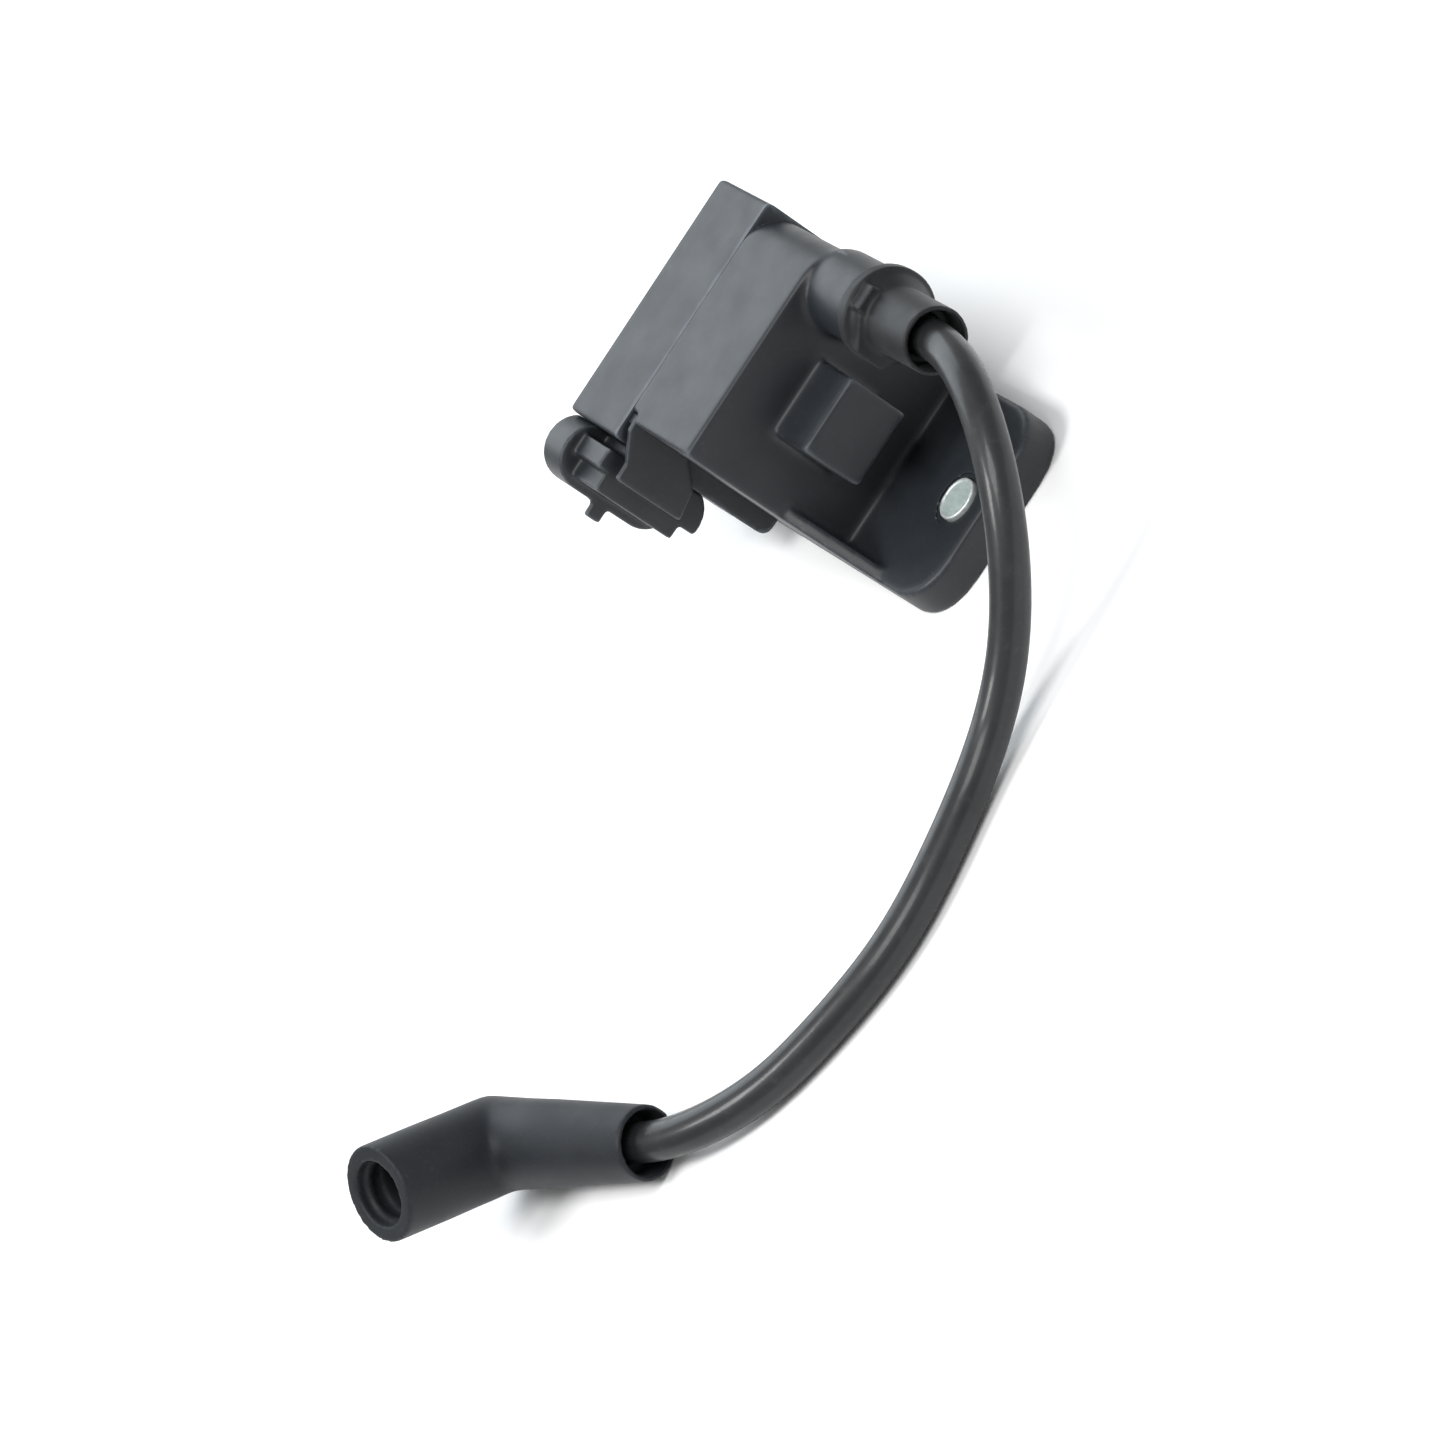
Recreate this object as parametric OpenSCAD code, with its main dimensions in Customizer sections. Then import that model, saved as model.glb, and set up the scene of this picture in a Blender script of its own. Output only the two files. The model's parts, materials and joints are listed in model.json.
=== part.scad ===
// Ignition coil with a moulded case, a plug-in primary connector and a fixed high-tension lead
// that ends in an elbow plug boot.
// Frame: millimetres. Z is up from the mounting face, X runs through the two fixing holes towards
// the tower, Y points to the side the tower stands on. The origin lies midway between the holes.

/* [Case] */
// Length of the main case along X
case_len = 26; // [20:1:40]
// Length of the rear cover along X
cover_len = 20; // [14:1:30]
// Height from the mounting face to the top face
case_h = 43; // [38:1:60]
// Wall thickness of the case and cover
wall = 2.4; // [1.6:0.2:4]
// Radius of the two long edges on the tower side
edge_r = 7.5; // [3:0.5:10]
// Width of the square post that covers the core end
post_w = 14.8; // [12:0.2:20]
// Height of the post
post_h = 12.8; // [11:0.2:16]
// Reach of the post from the front of the case
post_reach = 12.3; // [8:0.1:16]

/* [Mounting base] */
// Thickness of the base plate
base_t = 7; // [4:0.5:10]
// Width of the base plate
base_w = 38; // [30:1:50]
// Distance between the fixing holes
hole_pitch = 90; // [80:1:120]
// Distance from a fixing hole to the end of its ear
ear_end = 9; // [7:0.5:12]
// Outside diameter of the compression bushings
bush_od = 8; // [7:0.5:10]
// Bore of the compression bushings
bush_id = 6.5; // [6:0.1:7]

/* [Tower] */
// Outside diameter of the tower barrel
tower_d = 14.8; // [12:0.2:18]
// Reach of the barrel from the front of the case
tower_reach = 16.5; // [12:0.5:20]
// Diameter of the rubber cap at its rim
cap_d = 17.2; // [14:0.2:20]
// Diameter of the rubber cap's neck
neck_d = 11.9; // [10:0.1:14]
// Length of the rubber cap beyond the barrel
neck_len = 19; // [12:0.5:24]

/* [Lead and boot] */
// Outside diameter of the high-tension lead
lead_d = 7; // [5:0.5:8]
// Diameter of the conductor in the lead
wire_d = 2; // [1:0.1:3]
// Outside diameter of the boot's mouth leg
boot_d = 17.1; // [14:0.1:20]
// Bore of the boot's mouth
mouth_d = 10.2; // [9:0.1:12]
// Length of the mouth leg from the elbow
mouth_len = 26.3; // [18:0.1:32]
// Length of the lead leg from the elbow
leg_len = 39; // [28:0.5:45]

/* [Connector] */
// Outside width of the oval shroud
shroud_w = 12.2; // [9:0.2:14]
// Outside length of the oval shroud
shroud_l = 25.6; // [22:0.2:34]
// Depth of the oval shroud along X
shroud_t = 8.2; // [6:0.2:12]
// Distance between the two terminals
pin_pitch = 7; // [5:0.5:9]

/* [Hidden] */
$fn = 96;
e = 1;
xf = 23;
xj = xf - case_len;
xr = xj - cover_len;
y0 = -base_w / 2;
y1 = 25;
cover_y0 = -22.7;
cover_y1 = 25.6;
cav_x0 = xr + wall;
cav_x1 = xf - wall;
cav_y0 = y0 + wall;
cav_y1 = y1 - wall;
cav_z0 = base_t + wall;
cav_z1 = case_h - wall;
cav_r = edge_r - wall;
core_y = -0.25;
core_z = 24.8;
core_w = 8.5;
core_x0 = -19;
core_x1 = 32.3;
pad_t = 1.2;
magnet_x0 = cav_x0;
pri_x0 = -17.5;
pri_x1 = 19.5;
pri_r = 7;
pri_flange_r = 9.2;
pri_wind_r = 8.8;
sec_x0 = -16.5;
sec_x1 = 18.5;
sec_in_r = 9.25;
sec_r = 10.2;
sec_flange_r = 13.4;
sec_wind_r = 12.9;
sec_bays = 6;
sec_rib = 0.8;
sec_bay = (sec_x1 - sec_x0 - (sec_bays + 1) * sec_rib) / sec_bays;
tower_y = 19;
tower_z = 34.5;
tower_x1 = xf + tower_reach;
root_x = xf - 1;
seat_x = 26;
socket_x = 33;
socket_r = 5;
skirt = 1.5;
disc_t = 1.5;
bell_t = 3.5;
neck_x1 = tower_x1 + neck_len;
recess_x = neck_x1 - 5.5;
cap_recess_r = 5.1;
hv_pin_r = 1.5;
hv_pin_x0 = 18.2;
hv_head_r = 3.2;
hv_head_t = 1;
spike_r = 0.8;
spike_len = 4;
link_t = 0.8;
link_w = 1;
link_x = sec_x1 + 0.3;
link_a = atan2(tower_z - core_z, tower_y - core_y);
link_r0 = 11.6;
link_r1 = norm([tower_y - core_y, tower_z - core_z]) - 1;
lead_r = lead_d / 2;
wire_r = wire_d / 2;
wire_gap = 0.05;
wire_x0 = seat_x + hv_head_t + spike_len + 0.2;
con_y = -27.9;
con_z = 31;
con_wall = 1.6;
con_back = 1.5;
con_x1 = xr + shroud_t;
stem_x1 = -4.4;
slot_y = -17.2;
plate_t = 2.8;
plate_thin = 1.5;
plate_drop = 0.7;
pin_z = con_z;
pin_w = 2.3;
pin_t = 0.8;
pin_x0 = -21.5;
pin_x1 = -11.6;
pin_y1 = -14.6;
tail_t = 0.8;
tail_w = 1.2;
tail_x = -18.9;
tail_y0 = -15.2;
tail_y1 = -5.5;
sides = 12;
steps = 2;
seam = 0.01;

// Centreline of the free lead, from inside the tower cap down to the floor and into the boot.
route = [
  [53, 19, 34.5],
  [62, 19, 34.5],
  [71.5, 17, 34.5],
  [81, 12, 32],
  [88.5, 4, 26.5],
  [92, -6, 18.5],
  [92.5, -17, 10.5],
  [92.5, -28, 5.5],
  [94.5, -39, 3.6],
  [98, -50, 3.6],
  [101, -62, 3.6],
  [101, -73.5, 3.6],
  [97, -88, 3.6],
  [94, -96, 3.6],
  [90, -104, 4.3],
  [81, -115.2, 6],
  [70.5, -120, 7]
];

// The boot turns about the line that the last stretch of the lead follows.
boot_from = route[len(route) - 1];
boot_to = route[len(route) - 2];
boot_dir = (boot_to - boot_from) / norm(boot_to - boot_from);
boot_az = atan2(boot_dir[1], boot_dir[0]);
boot_dip = -asin(boot_dir[2]);
boot_roll = 45;
elbow = 93;
recess_in = 6;
recess_r = 5.5;
leg_r1 = 6.4;
leg_r0 = 8.75;
tail_end = 8.5;
stub_end = 4.5;
bore_gap = 0.05;
clip_r = 3.7;
clip_in = 3.2;
clip_x0 = 4;
clip_x1 = 12;
crimp_r = 2;
groove_x = 21.1;
groove_r = 5.7;
lip = 2;
lip_r = 5.8;
stem_r = 1.6;

// A cylinder along +X between two stations.
module bar(x0, x1, r) {
  translate([x0, 0, 0]) rotate([0, 90, 0]) cylinder(h = x1 - x0, r = r);
}

// A cone along +X.
module taper(x0, x1, ra, rb) {
  translate([x0, 0, 0]) rotate([0, 90, 0]) cylinder(h = x1 - x0, r1 = ra, r2 = rb);
}

module block(x0, x1, ya, yb, za, zb) {
  translate([x0, ya, za]) cube([x1 - x0, yb - ya, zb - za]);
}

// A block whose two long edges at +Y are rounded.
module eased_block(x0, x1, ya, yb, za, zb, r) {
  block(x0, x1, ya, yb - r, za, zb);
  block(x0, x1, yb - r, yb, za + r, zb - r);
  translate([0, yb - r, zb - r]) bar(x0, x1, r);
  translate([0, yb - r, za + r]) bar(x0, x1, r);
}

module on_core() {
  translate([0, core_y, core_z]) children();
}

module on_tower() {
  translate([0, tower_y, tower_z]) children();
}

module at_holes() {
  for (s = [-1, 1]) translate([s * hole_pitch / 2, 0, 0]) children();
}

// An oval along +X with its long side along Z.
module oval(x0, x1, w, l) {
  r = w / 2;
  d = l / 2 - r;
  translate([0, con_y, con_z]) {
    translate([0, 0, d]) bar(x0, x1, r);
    translate([0, 0, -d]) bar(x0, x1, r);
    block(x0, x1, -r, r, -d, d);
  }
}

module base() {
  x1 = hole_pitch / 2 + ear_end;
  x0 = x1 - ear_end;
  difference() {
    union() {
      block(-x0, x0, y0, -y0, 0, base_t);
      block(-x1, x1, y0 + ear_end, -y0 - ear_end, 0, base_t);
      for (sx = [-1, 1]) for (sy = [-1, 1])
        translate([sx * x0, sy * (-y0 - ear_end), 0]) cylinder(h = base_t, r = ear_end);
    }
    at_holes() {
      translate([0, 0, -e]) cylinder(h = base_t + 2 * e, r = bush_od / 2);
      translate([0, 0, base_t - 0.4]) cylinder(h = e, r = bush_od / 2 + 1.1);
    }
  }
}

module case_cavity() {
  eased_block(xj, cav_x1, cav_y0, cav_y1, cav_z0, cav_z1, cav_r);
}

module cover_cavity() {
  block(cav_x0, xj, cav_y0, cav_y1, cav_z0, cav_z1);
}

module core_bar(x0, x1) {
  on_core() block(x0, x1, -core_w / 2, core_w / 2, -core_w / 2, core_w / 2);
}

// The web that braces the front of the case against the base.
module web() {
  translate([0, y0 + 2.6, 0]) rotate([90, 0, 0]) linear_extrude(height = 2.6)
    polygon([[xf - e, base_t - e], [xf + 16, base_t - e], [xf + 16, base_t],
      [xf, base_t + 14.2], [xf - e, base_t + 14.2]]);
}

module case() {
  color([0.15, 0.16, 0.17])
  difference() {
    union() {
      base();
      eased_block(xj, xf, y0, y1, base_t, case_h, edge_r);
      on_core() block(xf - e, xf + post_reach, -7.35, post_w - 7.35, -post_h / 2, post_h / 2);
      on_tower() bar(root_x, tower_x1, tower_d / 2);
      on_tower() taper(root_x - 7, root_x, tower_d / 2 - 1.7, tower_d / 2);
      web();
    }
    translate([-e, 0, 0]) eased_block(xj, xj + 2 * e, cav_y0, cav_y1, cav_z0, cav_z1, cav_r);
    case_cavity();
    core_bar(cav_x1 - e, core_x1 + pad_t);
    on_tower() bar(seat_x, tower_x1 + e, lead_r);
    on_tower() bar(socket_x, tower_x1 + e, socket_r);
    on_tower() bar(cav_x1 - e, seat_x + e, hv_pin_r);
    block(xj - e, xj + plate_t, y0 - e, slot_y, 29.3, case_h + e);
  }
}

module pins() {
  for (s = [-1, 1]) translate([0, 0, pin_z + s * pin_pitch / 2]) {
    block(pin_x0, pin_x1, con_y - pin_t / 2, con_y + pin_t / 2, -pin_w / 2, pin_w / 2);
    block(pin_x1 - pin_t, pin_x1, con_y - pin_t / 2, pin_y1, -pin_w / 2, pin_w / 2);
  }
}

// The flat strips that take each terminal to the rear flange of the primary bobbin.
module tails() {
  h = tail_t / 2;
  w = tail_w / 2;
  for (s = [-1, 1]) translate([0, 0, pin_z + s * pin_pitch / 2]) {
    block(tail_x - h, pin_x1 - pin_t, tail_y0 - h, tail_y0 + h, -w, w);
    block(tail_x - h, tail_x + h, tail_y0 - h, tail_y1 + h, -w, w);
    block(tail_x - h, pri_x0, tail_y1 - h, tail_y1 + h, -w, w);
  }
}

module rear_cover() {
  color([0.17, 0.18, 0.19])
  difference() {
    union() {
      block(xr, xj, cover_y0, cover_y1, base_t + 2, case_h);
      block(xr, xj, cover_y0 + 2, cover_y1, base_t, case_h);
      translate([0, cover_y0 + 2, base_t + 2]) bar(xr, xj, 2);
    }
    cover_cavity();
    block(xj - e, xj + e, cav_y0, cav_y1, cav_z0, cav_z1);
    pins();
  }
}

module mount_bushings() {
  color([0.7, 0.71, 0.7])
  at_holes() difference() {
    cylinder(h = base_t + 0.2, r = bush_od / 2);
    translate([0, 0, -e]) cylinder(h = base_t + 3 * e, r = bush_id / 2);
  }
}

module core_laminations() {
  color([0.42, 0.43, 0.45]) core_bar(core_x0, core_x1);
}

module bias_magnet() {
  color([0.3, 0.3, 0.32]) core_bar(magnet_x0, core_x0);
}

module core_cushion() {
  color([0.5, 0.2, 0.15]) core_bar(core_x1, core_x1 + pad_t);
}

module primary_bobbin() {
  color([0.75, 0.72, 0.62])
  difference() {
    on_core() {
      bar(pri_x0, pri_x1, pri_r);
      bar(pri_x0, pri_x0 + 1.2, pri_flange_r);
      bar(pri_x1 - 1.2, pri_x1, pri_flange_r);
    }
    core_bar(pri_x0 - e, pri_x1 + e);
  }
}

module primary_winding() {
  color([0.72, 0.38, 0.2])
  on_core() difference() {
    bar(pri_x0 + 1.2, pri_x1 - 1.2, pri_wind_r);
    bar(pri_x0, pri_x1, pri_r);
  }
}

module secondary_bobbin() {
  color([0.8, 0.78, 0.7])
  on_core() difference() {
    union() {
      bar(sec_x0, sec_x1, sec_r);
      for (i = [0 : sec_bays]) translate([i * (sec_bay + sec_rib), 0, 0])
        bar(sec_x0, sec_x0 + sec_rib, sec_flange_r);
    }
    bar(sec_x0 - e, sec_x1 + e, sec_in_r);
    rotate([link_a, 0, 0]) link_bars();
  }
}

module secondary_winding() {
  color([0.65, 0.3, 0.15])
  on_core() for (i = [0 : sec_bays - 1]) translate([i * (sec_bay + sec_rib), 0, 0]) difference() {
    bar(sec_x0 + sec_rib, sec_x0 + sec_rib + sec_bay, sec_wind_r);
    bar(sec_x0, sec_x0 + 2 * sec_rib + sec_bay, sec_r);
  }
}

// The strip from the last bay, out through the flange and across to the tower's pin.
module link_bars() {
  block(sec_x1 - sec_rib, link_x + link_t, link_r0, link_r0 + link_t, -link_w / 2, link_w / 2);
  block(link_x, link_x + link_t, link_r0, link_r1, -link_w / 2, link_w / 2);
}

module potting() {
  color([0.1, 0.1, 0.11])
  difference() {
    union() {
      case_cavity();
      cover_cavity();
    }
    on_core() bar(sec_x0, sec_x1, sec_flange_r);
    on_core() bar(pri_x0, pri_x1, pri_flange_r);
    core_bar(cav_x0 - e, cav_x1 + e);
    on_tower() bar(hv_pin_x0, cav_x1 + e, hv_pin_r);
    on_core() rotate([link_a, 0, 0]) link_bars();
    pins();
    tails();
  }
}

module hv_terminal() {
  color([0.8, 0.62, 0.3])
  on_tower() {
    bar(hv_pin_x0, seat_x, hv_pin_r);
    bar(seat_x, seat_x + hv_head_t, hv_head_r);
    taper(seat_x + hv_head_t, seat_x + hv_head_t + spike_len, spike_r, 0.2);
  }
}

module hv_link() {
  color([0.75, 0.5, 0.3])
  difference() {
    on_core() rotate([link_a, 0, 0]) link_bars();
    on_tower() bar(hv_pin_x0 - e, seat_x, hv_pin_r);
  }
}

// The plate that drops from the slot under the case, thinned where it leaves the slot.
module plate() {
  difference() {
    rotate([90, 0, 90]) linear_extrude(height = plate_t)
      polygon([[slot_y, case_h - plate_drop], [-20.4, case_h - plate_drop], [-25.6, 39.2],
        [-28.7, 39.2], [-28.7, 24.3], [-23, 25.4], [-21.7, 26.4], [-19, 29.3], [slot_y, 29.3]]);
    block(-e, plate_t - plate_thin, -40, -19.2, 10, 50);
  }
}

// The body behind the shroud: a tall block, a lower band beside the case and a low outer block.
module stem() {
  block(con_x1 - e, stem_x1, -28.7, -24.8, 24, 41.5);
  block(con_x1 - e, stem_x1, -24.9, cover_y0, 24, 37.5);
  block(con_x1 - e, stem_x1, -32.2, -28.6, 21.7, 39.4);
  intersection() {
    oval(con_x1 - e, stem_x1, shroud_w, shroud_l);
    block(con_x1 - 2 * e, stem_x1 + e, -29.4, cover_y0, 10, con_z);
  }
}

module connector_housing() {
  color([0.13, 0.14, 0.15])
  difference() {
    union() {
      intersection() {
        oval(xr, con_x1, shroud_w, shroud_l);
        block(xr - e, con_x1 + e, -40, cover_y0, 10, 50);
      }
      block(con_x1 - con_back, con_x1, -36.8, con_y, 29.7, 32.8);
      stem();
      block(stem_x1 - e, xj + plate_t - plate_thin + 0.2, -28, -23.2, 27, 37);
      translate([xj, 0, 0]) plate();
    }
    oval(xr - e, con_x1 - con_back, shroud_w - 2 * con_wall, shroud_l - 2 * con_wall);
    pins();
  }
}

module connector_pins() {
  color([0.75, 0.75, 0.72]) pins();
}

module primary_leads() {
  color([0.75, 0.4, 0.2]) tails();
}

// The thumb tab and the square lug behind the neck of the cap.
module cap_tabs() {
  translate([tower_x1 + disc_t, 0, 0]) rotate([90, 0, 90]) linear_extrude(height = 2.5)
    polygon([[-3, -6.5], [-8.4, -2.8], [-8.4, 2.8], [-3, 6.5]]);
  block(tower_x1 + disc_t, tower_x1 + disc_t + 2.8, -2.4, 2.4, 3, 7.6);
}

module tower_cap() {
  color([0.12, 0.12, 0.13])
  on_tower() difference() {
    union() {
      bar(tower_x1 - skirt, tower_x1 + disc_t, cap_d / 2);
      taper(tower_x1 + disc_t, tower_x1 + disc_t + bell_t, cap_d / 2 - 0.8, neck_d / 2);
      bar(tower_x1, neck_x1, neck_d / 2);
      cap_tabs();
    }
    difference() {
      bar(tower_x1 - skirt - e, tower_x1, tower_d / 2);
      bar(tower_x1 - skirt - 2 * e, tower_x1 + e, socket_r);
    }
    bar(tower_x1 - skirt - e, neck_x1 + e, lead_r);
    bar(recess_x, neck_x1 + e, cap_recess_r);
  }
  color([0.12, 0.12, 0.13])
  on_tower() difference() {
    bar(socket_x, tower_x1 - skirt, socket_r);
    bar(socket_x - e, tower_x1, lead_r);
  }
}

// Uniform cubic B-spline through the hand-set route, with straight ends.
function ends(p) = concat([2 * p[0] - p[1]], p, [2 * p[len(p) - 1] - p[len(p) - 2]]);
function spot(q, i, s) = (pow(1 - s, 3) * q[i] + (3 * pow(s, 3) - 6 * s * s + 4) * q[i + 1]
  + (-3 * pow(s, 3) + 3 * s * s + 3 * s + 1) * q[i + 2] + pow(s, 3) * q[i + 3]) / 6;
function path(p, n) = let (q = ends(p))
  concat([for (i = [0 : len(p) - 2]) for (k = [0 : n - 1]) spot(q, i, k / n)], [p[len(p) - 1]]);
function unit(v) = v / norm(v);
function heading(c, i) = i == 0 ? unit(route[1] - route[0])
  : i == len(c) - 1 ? -boot_dir : unit(unit(c[i + 1] - c[i]) + unit(c[i] - c[i - 1]));
function ring(c, i, r) = let (t = heading(c, i), a = unit(cross(t, [0, 0, 1])), b = cross(a, t))
  [for (k = [0 : sides - 1]) c[i] + r * cos(360 * (k + 0.5) / sides) * a
    + r * sin(360 * (k + 0.5) / sides) * b];
function rings(c, r) = [for (i = [0 : len(c) - 1]) for (p = ring(c, i, r)) p];
function skin(n, o) = [for (i = [0 : n - 2]) for (k = [0 : sides - 1]) let (m = (k + 1) % sides)
  [o + i * sides + k, o + i * sides + m, o + (i + 1) * sides + m, o + (i + 1) * sides + k]];
function flip(f) = [for (v = f) [for (j = [len(v) - 1 : -1 : 0]) v[j]]];

module tube(r, r_in) {
  c = path(route, steps);
  n = len(c);
  o = n * sides;
  polyhedron(points = concat(rings(c, r), rings(c, r_in)),
    faces = concat(skin(n, 0), flip(skin(n, o)),
      [for (k = [0 : sides - 1]) let (m = (k + 1) % sides) [m, k, o + k, o + m]],
      [for (k = [0 : sides - 1]) let (m = (k + 1) % sides, a = (n - 1) * sides)
        [a + k, a + m, o + a + m, o + a + k]]));
}

module strand(r) {
  c = path(route, steps);
  n = len(c);
  polyhedron(points = rings(c, r), faces = concat(skin(n, 0),
    [[for (k = [sides - 1 : -1 : 0]) k]], [[for (k = [0 : sides - 1]) (n - 1) * sides + k]]));
}

module on_boot() {
  translate(boot_from) rotate([0, boot_dip, boot_az]) translate([recess_in - leg_len, 0, 0]) children();
}

module ht_lead() {
  color([0.08, 0.08, 0.09]) {
    on_tower() difference() {
      bar(seat_x + hv_head_t, recess_x, lead_r);
      bar(seat_x, recess_x + e, wire_r + wire_gap);
    }
    tube(lead_r - seam, (wire_r + wire_gap) / cos(180 / sides) + seam);
    on_boot() difference() {
      bar(tail_end, leg_len - recess_in, lead_r);
      bar(tail_end - e, leg_len, wire_r + wire_gap);
    }
  }
}

module lead_conductor() {
  color([0.72, 0.45, 0.25]) {
    on_tower() bar(wire_x0, recess_x, wire_r);
    strand(wire_r - seam);
    on_boot() bar(stub_end, leg_len - recess_in, wire_r);
  }
}

// The mouth leg starts at the elbow and leans back by a few degrees from square.
module on_mouth() {
  rotate([0, -elbow, 0]) children();
}

module boot_shape() {
  intersection() {
    taper(-12, leg_len, leg_r0, leg_r1);
    rotate([0, -elbow / 2, 0]) translate([-20, -20, -60]) cube([80, 40, 60]);
  }
  intersection() {
    on_mouth() bar(-14, mouth_len, boot_d / 2);
    rotate([0, -elbow / 2, 0]) translate([-20, -20, 0]) cube([80, 40, 60]);
  }
}

module plug_boot() {
  color([0.13, 0.13, 0.14])
  on_boot() rotate([boot_roll, 0, 0]) difference() {
    boot_shape();
    bar(-2.5, leg_len, lead_r + bore_gap);
    bar(leg_len - recess_in, leg_len + e, recess_r);
    on_mouth() bar(0, mouth_len, clip_r + bore_gap);
    on_mouth() bar(clip_x1 + 0.5, mouth_len + e, mouth_d / 2);
    on_mouth() bar(groove_x, groove_x + 2, groove_r);
    on_mouth() bar(mouth_len - lip, mouth_len + e, lip_r);
  }
}

module plug_terminal() {
  color([0.78, 0.66, 0.38])
  on_boot() rotate([boot_roll, 0, 0]) difference() {
    union() {
      bar(0, tail_end - 0.3, crimp_r);
      sphere(r = crimp_r);
      on_mouth() bar(0, clip_x0 + 1, stem_r);
      on_mouth() bar(clip_x0, clip_x1, clip_r);
    }
    bar(stub_end - 0.2, tail_end + e, wire_r + wire_gap);
    on_mouth() bar(clip_x0 + 0.8, clip_x1 + e, clip_in);
  }
}

case();
rear_cover();
mount_bushings();
core_laminations();
bias_magnet();
core_cushion();
primary_bobbin();
primary_winding();
secondary_bobbin();
secondary_winding();
potting();
hv_terminal();
hv_link();
connector_housing();
connector_pins();
primary_leads();
tower_cap();
ht_lead();
lead_conductor();
plug_boot();
plug_terminal();
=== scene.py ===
"""Ignition coil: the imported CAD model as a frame, with soft edges, materials, floor, light and camera."""
import json
import math

import bmesh
import bpy
import numpy as np
from mathutils import Matrix, Vector


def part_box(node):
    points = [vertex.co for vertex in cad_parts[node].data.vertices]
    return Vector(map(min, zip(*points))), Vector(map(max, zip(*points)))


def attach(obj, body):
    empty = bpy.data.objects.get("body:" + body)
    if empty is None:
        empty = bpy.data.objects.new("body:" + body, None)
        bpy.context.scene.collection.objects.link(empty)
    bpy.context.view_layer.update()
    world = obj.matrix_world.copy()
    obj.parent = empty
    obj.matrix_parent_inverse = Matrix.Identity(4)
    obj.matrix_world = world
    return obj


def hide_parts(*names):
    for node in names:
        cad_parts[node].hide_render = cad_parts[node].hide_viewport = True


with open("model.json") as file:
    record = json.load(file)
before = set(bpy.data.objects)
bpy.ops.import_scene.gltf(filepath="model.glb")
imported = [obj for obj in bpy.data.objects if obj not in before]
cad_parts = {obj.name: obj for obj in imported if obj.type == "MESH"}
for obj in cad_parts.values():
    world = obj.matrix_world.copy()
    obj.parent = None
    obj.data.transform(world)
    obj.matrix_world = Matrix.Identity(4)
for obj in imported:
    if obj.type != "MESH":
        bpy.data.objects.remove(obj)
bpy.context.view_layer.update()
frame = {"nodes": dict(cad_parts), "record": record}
NODES = frame["nodes"]
RECORD = frame["record"]
MM = 0.001


def mount(name):
    """The record's mount of that name."""
    return next(m for m in RECORD["mounts"] if m["name"] == name)


def joint(name):
    """The record's joint of that name."""
    return next(j for j in RECORD["behaviour"]["joints"] if j["name"] == name)


def put_in_scene(name, data):
    """A new object in the scene for a mesh, curve, light or camera."""
    made = bpy.data.objects.new(name, data)
    bpy.context.scene.collection.objects.link(made)
    return made


# ---------------------------------------------------------------- camera

CAMERA_PLACE = Vector((1.02815, -0.03616, 0.57887))
RIGHT = Vector((0.4051, 0.5497, -0.7306))
DOWN = Vector((0.2822, -0.8352, -0.4719))
AHEAD = Vector((-0.8696, -0.0150, -0.4934))

lens = bpy.data.cameras.new("camera")
lens.sensor_width = 36.0
lens.lens = 168.0
lens.clip_start = 0.05
lens.clip_end = 30.0
camera = put_in_scene("camera", lens)
turn = Matrix((RIGHT, -DOWN, -AHEAD)).transposed().to_4x4()
camera.matrix_world = Matrix.Translation(CAMERA_PLACE) @ turn
bpy.context.scene.camera = camera


# ---------------------------------------------------------------- node material helpers

# The pointiness at which the pale edge (a painted highlight, and rubbed wear) starts to show, and at which
# it is palest.
EDGE_FROM = 0.52
EDGE_TO = 0.58


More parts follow.
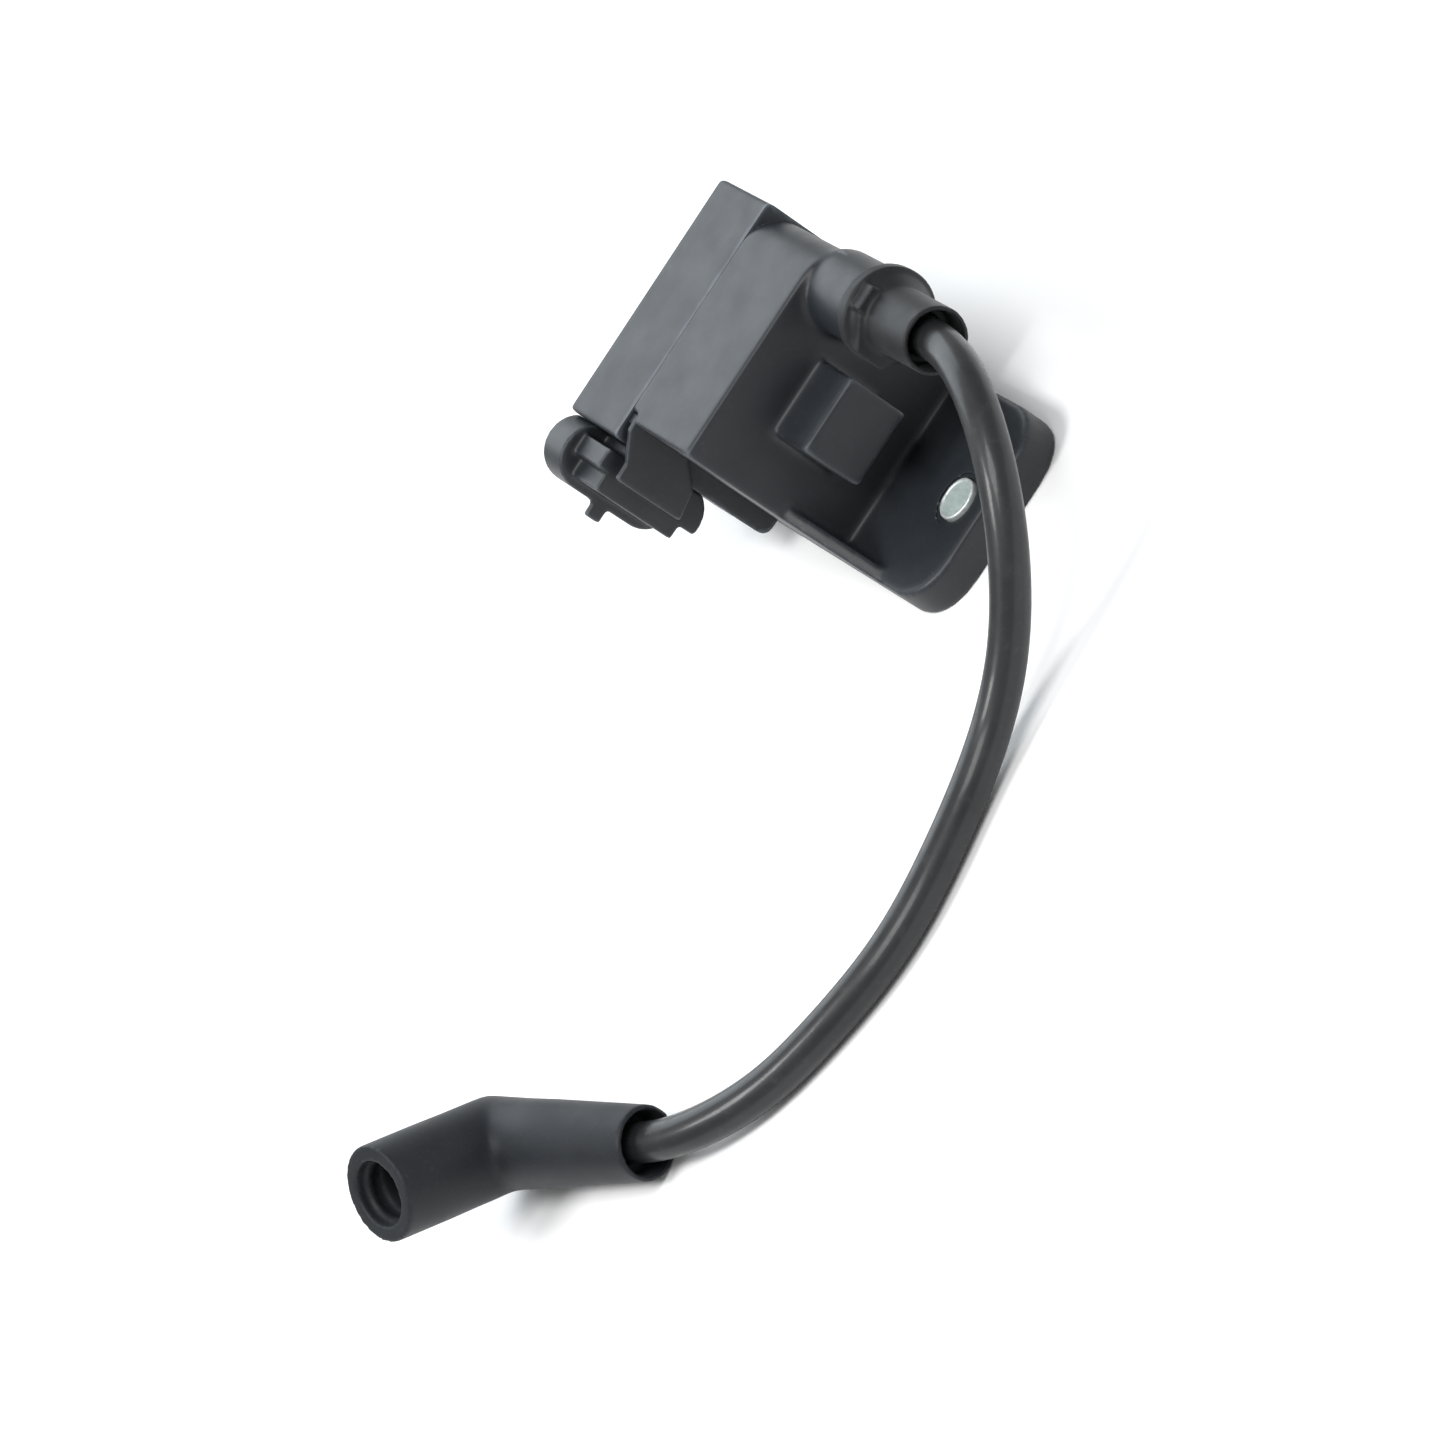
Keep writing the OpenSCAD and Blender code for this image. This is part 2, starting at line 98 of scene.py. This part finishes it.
class Mat:
    """A procedural material in object coordinates, which are the part's own frame in metres."""

    def __init__(self, name, rough=0.5, metal=0.0, **sockets):
        self.material = bpy.data.materials.new(name)
        self.material.use_nodes = True
        self.tree = self.material.node_tree
        self.shader = self.tree.nodes["Principled BSDF"]
        self.shader.inputs["Roughness"].default_value = rough
        self.shader.inputs["Metallic"].default_value = metal
        for socket, value in sockets.items():
            self.shader.inputs[socket.replace("_", " ")].default_value = value
        self.place = self.tree.nodes.new("ShaderNodeTexCoord").outputs["Object"]

    def new(self, kind, **settings):
        node = self.tree.nodes.new(kind)
        for setting, value in settings.items():
            setattr(node, setting, value)
        return node

    def link(self, source, target):
        self.tree.links.new(source, target)

    def stretched(self, scale):
        """The object coordinates, scaled along each axis."""
        node = self.new("ShaderNodeMapping")
        node.inputs["Scale"].default_value = scale
        self.link(self.place, node.inputs["Vector"])
        return node.outputs["Vector"]

    def noise(self, size_mm, detail=2.0, rough=0.5, scale=(1, 1, 1)):
        node = self.new("ShaderNodeTexNoise")
        node.inputs["Scale"].default_value = 1.0 / (size_mm * MM)
        node.inputs["Detail"].default_value = detail
        node.inputs["Roughness"].default_value = rough
        self.link(self.stretched(scale), node.inputs["Vector"])
        return node.outputs["Fac"]

    def bands(self, direction, profile, pitch_mm, distortion=0.0):
        """Parallel bands across one axis, a pitch apart."""
        node = self.new(
            "ShaderNodeTexWave", wave_type="BANDS", bands_direction=direction, wave_profile=profile
        )
        node.inputs["Scale"].default_value = math.pi / (20.0 * pitch_mm * MM)
        node.inputs["Distortion"].default_value = distortion
        self.link(self.place, node.inputs["Vector"])
        return node.outputs["Fac"]

    def ramp(self, factor, low, high, start=0.3, end=0.7):
        """Goes from low to high as the factor goes from start to end."""
        node = self.new("ShaderNodeMapRange")
        node.inputs["From Min"].default_value = start
        node.inputs["From Max"].default_value = end
        node.inputs["To Min"].default_value = low
        node.inputs["To Max"].default_value = high
        self.link(factor, node.inputs["Value"])
        return node.outputs["Result"]

    def blend(self, factor, first, second):
        """A mix of two colours, each of them a plain colour or another node's output."""
        node = self.new("ShaderNodeMix", data_type="RGBA")
        self.link(factor, node.inputs["Factor"])
        for socket, colour in ((node.inputs[6], first), (node.inputs[7], second)):
            if isinstance(colour, tuple):
                socket.default_value = (*colour, 1.0)
            else:
                self.link(colour, socket)
        return node.outputs[2]

    def math(self, operation, first, second):
        """A sum or product of two values, each of them a number or another node's output."""
        node = self.new("ShaderNodeMath", operation=operation)
        for socket, value in ((node.inputs[0], first), (node.inputs[1], second)):
            if isinstance(value, float):
                socket.default_value = value
            else:
                self.link(value, socket)
        return node.outputs[0]

    def bump(self, height, strength, distance_mm):
        node = self.new("ShaderNodeBump")
        node.inputs["Strength"].default_value = strength
        node.inputs["Distance"].default_value = distance_mm * MM
        self.link(height, node.inputs["Height"])
        self.link(node.outputs["Normal"], self.shader.inputs["Normal"])

    def edges(self, amount):
        """Up to amount on convex edges and corners, where mouldings are painted pale with a painted
        highlight and rubbed wear, and 0 elsewhere.
        """
        pointiness = self.new("ShaderNodeNewGeometry").outputs["Pointiness"]
        return self.ramp(pointiness, 0.0, amount, EDGE_FROM, EDGE_TO)

    def colour(self, source):
        self.link(source, self.shader.inputs["Base Color"])

    def rough(self, source):
        self.link(source, self.shader.inputs["Roughness"])


def paler(colour, times, more=0.0):
    """A colour made paler, and never past white."""
    return tuple(min(1.0, channel * times + more) for channel in colour)


# ---------------------------------------------------------------- materials

# How pale the edges of the outer mouldings are painted: a painted edge highlight, and rubbed wear.
EDGE_WEAR_AND_HIGHLIGHT = 0.8


def moulded(name, dark, light, rough, grain=0.35, depth=0.03, edge_wear_and_highlight=0.0):
    """Glass-filled moulded plastic: fine spark texture, faint cloudy flow marks, uneven sheen."""
    mat = Mat(name, rough, IOR=1.5, Specular_IOR_Level=0.42)
    cloud = mat.noise(14.0, 3.0, 0.6)
    flow = mat.noise(6.0, 3.0, 0.55)
    tone = mat.blend(mat.ramp(cloud, 0.0, 1.0), dark, light)
    dust = mat.ramp(mat.noise(0.9, 3.0, 0.7), 0.0, 0.35, 0.58, 0.8)
    dusty = mat.blend(dust, tone, paler(light, 2.0, 0.008))
    # Convex edges painted paler: a painted highlight along the edges, and rubbed wear.
    mat.colour(mat.blend(mat.edges(edge_wear_and_highlight), dusty, paler(light, 6.0)))
    mat.rough(mat.ramp(flow, rough - 0.03, rough + 0.04))
    mat.bump(mat.math("ADD", mat.noise(grain), mat.math("MULTIPLY", flow, 0.3)), 0.3, depth)
    return mat.material


def rubber(name, dark, light, rough):
    """Matt moulded rubber with a dry bloom."""
    mat = Mat(name, rough, Sheen_Weight=0.03, Sheen_Roughness=0.5, IOR=1.48, Specular_IOR_Level=0.3)
    bloom = mat.noise(9.0, 4.0, 0.65)
    specks = mat.ramp(mat.noise(0.7, 2.0, 0.6), 0.0, 0.5, 0.6, 0.78)
    tone = mat.blend(mat.ramp(bloom, 0.0, 1.0), dark, light)
    mat.colour(mat.blend(specks, tone, paler(light, 1.9)))
    mat.rough(mat.ramp(bloom, rough - 0.07, rough + 0.08))
    mat.bump(mat.math("ADD", mat.noise(0.5, 3.0, 0.6), mat.math("MULTIPLY", bloom, 0.5)), 0.4, 0.03)
    return mat.material


def metal(name, dark, light, rough, stretch=(1, 1, 1), size=1.2, metallic=1.0):
    """Metal with fine streaks and faint stains."""
    mat = Mat(name, rough, metallic)
    streak = mat.noise(size, 4.0, 0.6, stretch)
    stain = mat.noise(4.0, 3.0, 0.6)
    marks = mat.ramp(mat.math("MULTIPLY", streak, stain), 0.0, 1.0, 0.1, 0.4)
    mat.colour(mat.blend(marks, dark, light))
    mat.rough(mat.ramp(streak, rough - 0.1, rough + 0.14))
    mat.bump(streak, 0.3, 0.02)
    return mat.material


def wound(name, dark, light, pitch_mm):
    """Enamelled wire laid side by side along X."""
    mat = Mat(name, 0.32, 0.85, Coat_Weight=0.4, Coat_Roughness=0.15)
    turns = mat.bands("X", "SIN", pitch_mm, 0.3)
    mat.colour(mat.blend(turns, dark, light))
    mat.bump(turns, 0.8, 0.06)
    return mat.material


def stacked(name, dark, light, sheet_mm):
    """Edges of thin sheets stacked along Y."""
    mat = Mat(name, 0.42, 0.9)
    sheets = mat.bands("Y", "SAW", sheet_mm)
    mat.colour(mat.blend(mat.math("MULTIPLY", sheets, mat.noise(2.0, 3.0)), dark, light))
    mat.bump(sheets, 0.5, 0.03)
    return mat.material


def jacket(name):
    """Extruded cable jacket: smooth, a little glossy, with faint scuffs and dust."""
    mat = Mat(name, 0.32, Coat_Weight=0.22, Coat_Roughness=0.15, IOR=1.5, Specular_IOR_Level=0.3)
    scuff = mat.noise(3.0, 4.0, 0.65)
    cloud = mat.noise(16.0, 3.0, 0.6)
    tone = mat.blend(mat.ramp(cloud, 0.0, 1.0), (0.014, 0.0150, 0.0160), (0.023, 0.0245, 0.0260))
    mat.colour(mat.blend(mat.ramp(scuff, 0.0, 0.4, 0.56, 0.78), tone, (0.05, 0.05, 0.053)))
    mat.rough(mat.ramp(scuff, 0.34, 0.5))
    uneven = mat.math("MULTIPLY", mat.noise(4.0), 1.2)
    mat.bump(mat.math("ADD", mat.noise(1.3, 3.0, 0.6), uneven), 0.4, 0.07)
    return mat.material


MAT = {
    "plastic": moulded(
        "plastic", (0.0125, 0.0150, 0.0185), (0.0175, 0.0205, 0.0245), 0.46, edge_wear_and_highlight=EDGE_WEAR_AND_HIGHLIGHT
    ),
    "cover_plastic": moulded(
        "cover_plastic", (0.0130, 0.0155, 0.0190), (0.0180, 0.0212, 0.0252), 0.47, edge_wear_and_highlight=EDGE_WEAR_AND_HIGHLIGHT
    ),
    "connector_plastic": moulded(
        "connector_plastic", (0.0120, 0.0145, 0.0175), (0.0170, 0.0200, 0.0235), 0.44, 0.3, edge_wear_and_highlight=EDGE_WEAR_AND_HIGHLIGHT
    ),
    "bushing_steel": metal(
        "bushing_steel", (0.66, 0.72, 0.71), (0.90, 0.97, 0.95), 0.42, metallic=0.6
    ),
    "core_steel": stacked("core_steel", (0.20, 0.20, 0.21), (0.42, 0.42, 0.43), 0.5),
    "magnet": metal("magnet", (0.07, 0.07, 0.075), (0.14, 0.14, 0.15), 0.6, size=0.6, metallic=0.4),
    "cushion": rubber("cushion", (0.14, 0.04, 0.03), (0.22, 0.07, 0.05), 0.6),
    "bobbin_plastic": moulded("bobbin_plastic", (0.46, 0.42, 0.32), (0.60, 0.55, 0.44), 0.45),
    "copper": wound("copper", (0.30, 0.09, 0.03), (0.72, 0.32, 0.16), 0.35),
    "resin": moulded("resin", (0.012, 0.012, 0.014), (0.02, 0.02, 0.023), 0.22, 1.5, 0.02),
    "brass": metal("brass", (0.52, 0.36, 0.14), (0.80, 0.62, 0.30), 0.3, (0.3, 1, 1)),
    "tinned": metal("tinned", (0.45, 0.45, 0.42), (0.74, 0.73, 0.70), 0.28, (0.3, 1, 1)),
    "cap_rubber": rubber("cap_rubber", (0.007, 0.0080, 0.0090), (0.0120, 0.0130, 0.0145), 0.5),
    "boot_rubber": rubber("boot_rubber", (0.0085, 0.0105, 0.0135), (0.0150, 0.0175, 0.0215), 0.56),
    "jacket": jacket("jacket"),
}

for row in RECORD["subparts"]:
    for holder in NODES[row["node"]].material_slots:
        holder.link = "OBJECT"
        holder.material = MAT[row["material_slot"]]


# ---------------------------------------------------------------- the lead, on the model's own route

# Centreline of the free lead in millimetres, from inside the tower cap to the boot.
ROUTE = [
    (53, 19, 34.5),
    (62, 19, 34.5),
    (71.5, 17, 34.5),
    (81, 12, 32),
    (88.5, 4, 26.5),
    (92, -6, 18.5),
    (92.5, -17, 10.5),
    (92.5, -28, 5.5),
    (94.5, -39, 3.6),
    (98, -50, 3.6),
    (101, -62, 3.6),
    (101, -73.5, 3.6),
    (97, -88, 3.6),
    (94, -96, 3.6),
    (90, -104, 4.3),
    (81, -115.2, 6),
    (70.5, -120, 7),
]
# Centreline points to each stretch of the route.
STEPS = 2
LEAD_R = 3.5 * MM
# How far the lead runs on past either end of its route, and its share of its radius in the bore.
IN_TOWER = 12.0 * MM
IN_BOOT = 24.0 * MM
RADIUS_IN_BORE = 0.97


def centreline():
    """The route's uniform cubic B-spline, with a few points to each stretch."""
    route = [Vector(point) * MM for point in ROUTE]
    ends = [route[0] * 2 - route[1]] + route + [route[-1] * 2 - route[-2]]
    line = []
    for i in range(len(route) - 1):
        for step in range(STEPS):
            s = step / STEPS
            before = ends[i] * (1 - s) ** 3
            here = ends[i + 1] * (3 * s**3 - 6 * s * s + 4)
            after = ends[i + 2] * (-3 * s**3 + 3 * s * s + 3 * s + 1)
            beyond = ends[i + 3] * s**3
            line.append((before + here + after + beyond) / 6)
    line.append(route[-1])
    return line


def nurbs(name, points, radius):
    """One open order-4 NURBS through the control points, as a round tube."""
    curve = bpy.data.curves.new(name, "CURVE")
    curve.dimensions = "3D"
    curve.bevel_depth = radius
    curve.bevel_resolution = 7
    curve.use_fill_caps = True
    curve.resolution_u = 6
    spline = curve.splines.new("NURBS")
    spline.points.add(len(points) - 1)
    for control, point in zip(spline.points, points):
        control.co = (*point, 1.0)
    spline.order_u = 4
    spline.use_endpoint_u = True
    return put_in_scene(name, curve)


LINE = centreline()
BOOT_DIR = (LINE[-1] - Vector(ROUTE[-2]) * MM).normalized()
LEAD_START = LINE[0] - Vector((IN_TOWER, 0, 0))
LEAD_END = LINE[-1] + BOOT_DIR * IN_BOOT
TOWER_RUN = [LEAD_START, LEAD_START.lerp(LINE[0], 0.5)]
BOOT_RUN = [LEAD_END.lerp(LINE[-1], share) for share in (0.6, 0.3)] + [LEAD_END]

lead = nurbs("lead_jacket", TOWER_RUN + LINE + BOOT_RUN, LEAD_R)
lead.data.materials.append(MAT["jacket"])
# Slightly thinner inside the boot's bore, which leaves the boot room to turn.
for control in lead.data.splines[0].points[-len(BOOT_RUN) - 1 :]:
    control.radius = RADIUS_IN_BORE


# ---------------------------------------------------------------- soft moulded edges on the CAD parts

# The plane where case and cover meet, how near it a point counts as on it, and how far each of the
# two is pushed into the other there.
JOINT_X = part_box("rear_cover")[1][0]
JOINT_TOLERANCE = 0.15 * MM
PUSH = 0.4 * MM
# How much of the way to the mean of its neighbours a point moves in one round.
PULL = 0.5
# Folds sharper than this stay crisp.
SHARP_DEG = 50.0

# How far the bushings stand out of the base, and the recess round each of them.
BUSHING_STANDS = 0.2 * MM
BASE_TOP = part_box("mount_bushings")[1][2] - BUSHING_STANDS
HOLE_X = mount("mount_holes")["dims"]["spacing_x_mm"] / 2 * MM
RECESS_R = 5.1 * MM
RECESS_DEPTH = 0.4 * MM
CUTTER_H = 3 * MM

# How far from the corner the rounding reaches, the distance over which it fades, and how far from
# both legs' axes it starts, which leaves the bores out.
ELBOW_REACH = 17.0 * MM
ELBOW_FADE = 5.0 * MM
ELBOW_SKIN_R = 6.3 * MM


def points_and_links(mesh):
    """The mesh's points, and each edge twice, once from either end."""
    points = np.empty(len(mesh.vertices) * 3)
    mesh.vertices.foreach_get("co", points)
    ends = np.empty(len(mesh.edges) * 2, np.int32)
    mesh.edges.foreach_get("vertices", ends)
    first, second = ends.reshape(-1, 2).T
    return points.reshape(-1, 3), np.concatenate((first, second)), np.concatenate((second, first))


def evened(points, source, target, share, rounds):
    """The points, each drawn by its share towards the mean of the points that its edges lead to."""
    count = len(points)
    links = np.maximum(np.bincount(source, minlength=count), 1)[:, None]
    for _ in range(rounds):
        sums = [np.bincount(source, points[target, axis], count) for axis in range(3)]
        points = points + PULL * share * (np.stack(sums, axis=1) / links - points)
    return points


def put_points(mesh, points):
    mesh.vertices.foreach_set("co", points.ravel())
    mesh.update()


def relax(mesh, rounds, push):
    """Melts the mesh's corners. With a push, the face on the joint plane stays flat, its rim stays
    crisp, and it moves by that much into its neighbour."""
    points, source, target = points_and_links(mesh)
    flat = np.zeros(len(points), bool)
    if push:
        flat = np.abs(points[:, 0] - JOINT_X) < JOINT_TOLERANCE
    free = ~flat[target]
    source, target = source[free], target[free]
    linked = np.bincount(source, minlength=len(points)) > 0
    share = linked[:, None] * np.ones(3)
    share[flat, 0] = 0.0
    points = evened(points, source, target, share, rounds)
    points[flat, 0] += push
    put_points(mesh, points)


def round_elbow(mesh, rounds):
    """Melts the mitre of the boot's two legs into a rounded elbow, and leaves the bores alone."""
    swivel = joint("boot_swivel")
    points, source, target = points_and_links(mesh)
    from_elbow = points - np.array(swivel["pos_m"])
    axes = [np.array(row["axis"]) for row in (swivel, mount("plug_mouth"))]
    off_axis = np.min([np.linalg.norm(np.cross(from_elbow, axis), axis=1) for axis in axes], axis=0)
    distance = np.linalg.norm(from_elbow, axis=1)
    share = np.clip((ELBOW_REACH - distance) / ELBOW_FADE, 0.0, 1.0) * (off_axis > ELBOW_SKIN_R)
    put_points(mesh, evened(points, source, target, share[:, None], rounds))


def baked(piece):
    """The piece's mesh with its modifiers applied, as a mesh of its own."""
    evaluated = piece.evaluated_get(bpy.context.evaluated_depsgraph_get())
    mesh = bpy.data.meshes.new_from_object(evaluated)
    piece.modifiers.clear()
    piece.data = mesh
    return mesh


def cut_recesses(piece):
    """Cuts the shallow recess round each fixing hole back in, at the size it has in the CAD part."""
    shape = bmesh.new()
    for side in (-1, 1):
        middle = (side * HOLE_X, 0, BASE_TOP - RECESS_DEPTH + CUTTER_H / 2)
        bmesh.ops.create_cone(
            shape,
            cap_ends=True,
            segments=96,
            radius1=RECESS_R,
            radius2=RECESS_R,
            depth=CUTTER_H,
            matrix=Matrix.Translation(middle),
        )
    mesh = bpy.data.meshes.new("recess_cutter")
    shape.to_mesh(mesh)
    shape.free()
    cutter = put_in_scene("recess_cutter", mesh)
    cut = piece.modifiers.new("recess", "BOOLEAN")
    cut.operation = "DIFFERENCE"
    cut.solver = "EXACT"
    cut.object = cutter
    baked(piece)
    bpy.data.objects.remove(cutter)


def remoulded(name, node, voxel_mm, rounds, slot, keep=1.0, push=0.0, recessed=False):
    """A soft moulded copy of a CAD part: remeshed fine and relaxed, so that its corners melt."""
    piece = put_in_scene(name, NODES[node].data.copy())
    remesh = piece.modifiers.new("remesh", "REMESH")
    remesh.mode = "VOXEL"
    remesh.voxel_size = voxel_mm * MM
    remesh.adaptivity = 0.0
    relax(baked(piece), rounds, push)
    if keep < 1.0:
        thin = piece.modifiers.new("thin", "DECIMATE")
        thin.ratio = keep
        baked(piece)
    if recessed:
        cut_recesses(piece)
    piece.data.materials.clear()
    piece.data.materials.append(MAT[slot])
    for face in piece.data.polygons:
        face.use_smooth = True
    piece.data.set_sharp_from_angle(angle=math.radians(SHARP_DEG))
    return piece


boot = remoulded("boot_skin", "plug_boot", 0.35, 6, "boot_rubber")
round_elbow(boot.data, 70)
cap = remoulded("cap_skin", "tower_cap", 0.3, 5, "cap_rubber", 0.6)
case = remoulded("case_skin", "case", 0.45, 9, "plastic", 0.25, -PUSH, recessed=True)
cover = remoulded("cover_skin", "rear_cover", 0.45, 9, "cover_plastic", 0.25, PUSH)
connector = remoulded("connector_skin", "connector_housing", 0.3, 6, "connector_plastic", 0.4)
bushings = remoulded("bushing_skin", "mount_bushings", 0.2, 5, "bushing_steel", 0.5)


# ---------------------------------------------------------------- floor and light

FLOOR_HALF = 6.0
FLOOR_DROP = 0.03 * MM


def make_floor():
    """A plain pale floor, a hair below the part."""
    grid = bmesh.new()
    bmesh.ops.create_grid(grid, x_segments=1, y_segments=1, size=FLOOR_HALF)
    mesh = bpy.data.meshes.new("floor")
    grid.to_mesh(mesh)
    grid.free()
    mat = Mat("floor", 0.7, Specular_IOR_Level=0.1)
    patches = mat.ramp(mat.noise(120.0, 3.0), 0.0, 1.0)
    mat.colour(mat.blend(patches, (0.93, 0.93, 0.93), (0.95, 0.95, 0.95)))
    mesh.materials.append(mat.material)
    made = put_in_scene("floor", mesh)
    made.location.z = -FLOOR_DROP
    return made


def area(name, place, target, size, power, colour=(1, 1, 1)):
    """A rectangular soft light at a place, turned towards its target."""
    light = bpy.data.lights.new(name, "AREA")
    light.shape = "RECTANGLE"
    light.size, light.size_y = size
    light.energy = power
    light.color = colour
    lamp = put_in_scene(name, light)
    lamp.location = place
    lamp.rotation_euler = (Vector(target) - Vector(place)).to_track_quat("-Z", "Y").to_euler()


floor = make_floor()
area("back_soft", (-1.3, 0.1, 0.95), (0, 0, 0.03), (1.6, 1.3), 20.0, (0.88, 0.95, 1.0))
area("key_soft", (0.09, -0.8, 1.4), (0.08, -0.05, 0.0), (0.45, 0.45), 13.0)
area("edge_soft", (0.8, 0.0, 1.4), (0.0, 0.0, 0.02), (0.7, 0.7), 14.0)

world = bpy.data.worlds.new("world")
bpy.context.scene.world = world
world.use_nodes = True
background = world.node_tree.nodes["Background"]
background.inputs["Color"].default_value = (1.0, 1.0, 1.0, 1.0)
background.inputs["Strength"].default_value = 0.42
bpy.context.scene.view_settings.view_transform = "Standard"


# ---------------------------------------------------------------- riding and replacing

for piece, body, node, slot in (
    (lead, "root", "ht_lead", "jacket"),
    (boot, "boot", "plug_boot", "boot_rubber"),
    (cap, "root", "tower_cap", "cap_rubber"),
    (case, "root", "case", "plastic"),
    (cover, "root", "rear_cover", "cover_plastic"),
    (connector, "root", "connector_housing", "connector_plastic"),
    (bushings, "root", "mount_bushings", "bushing_steel"),
):
    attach(piece, body)
    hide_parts(node)
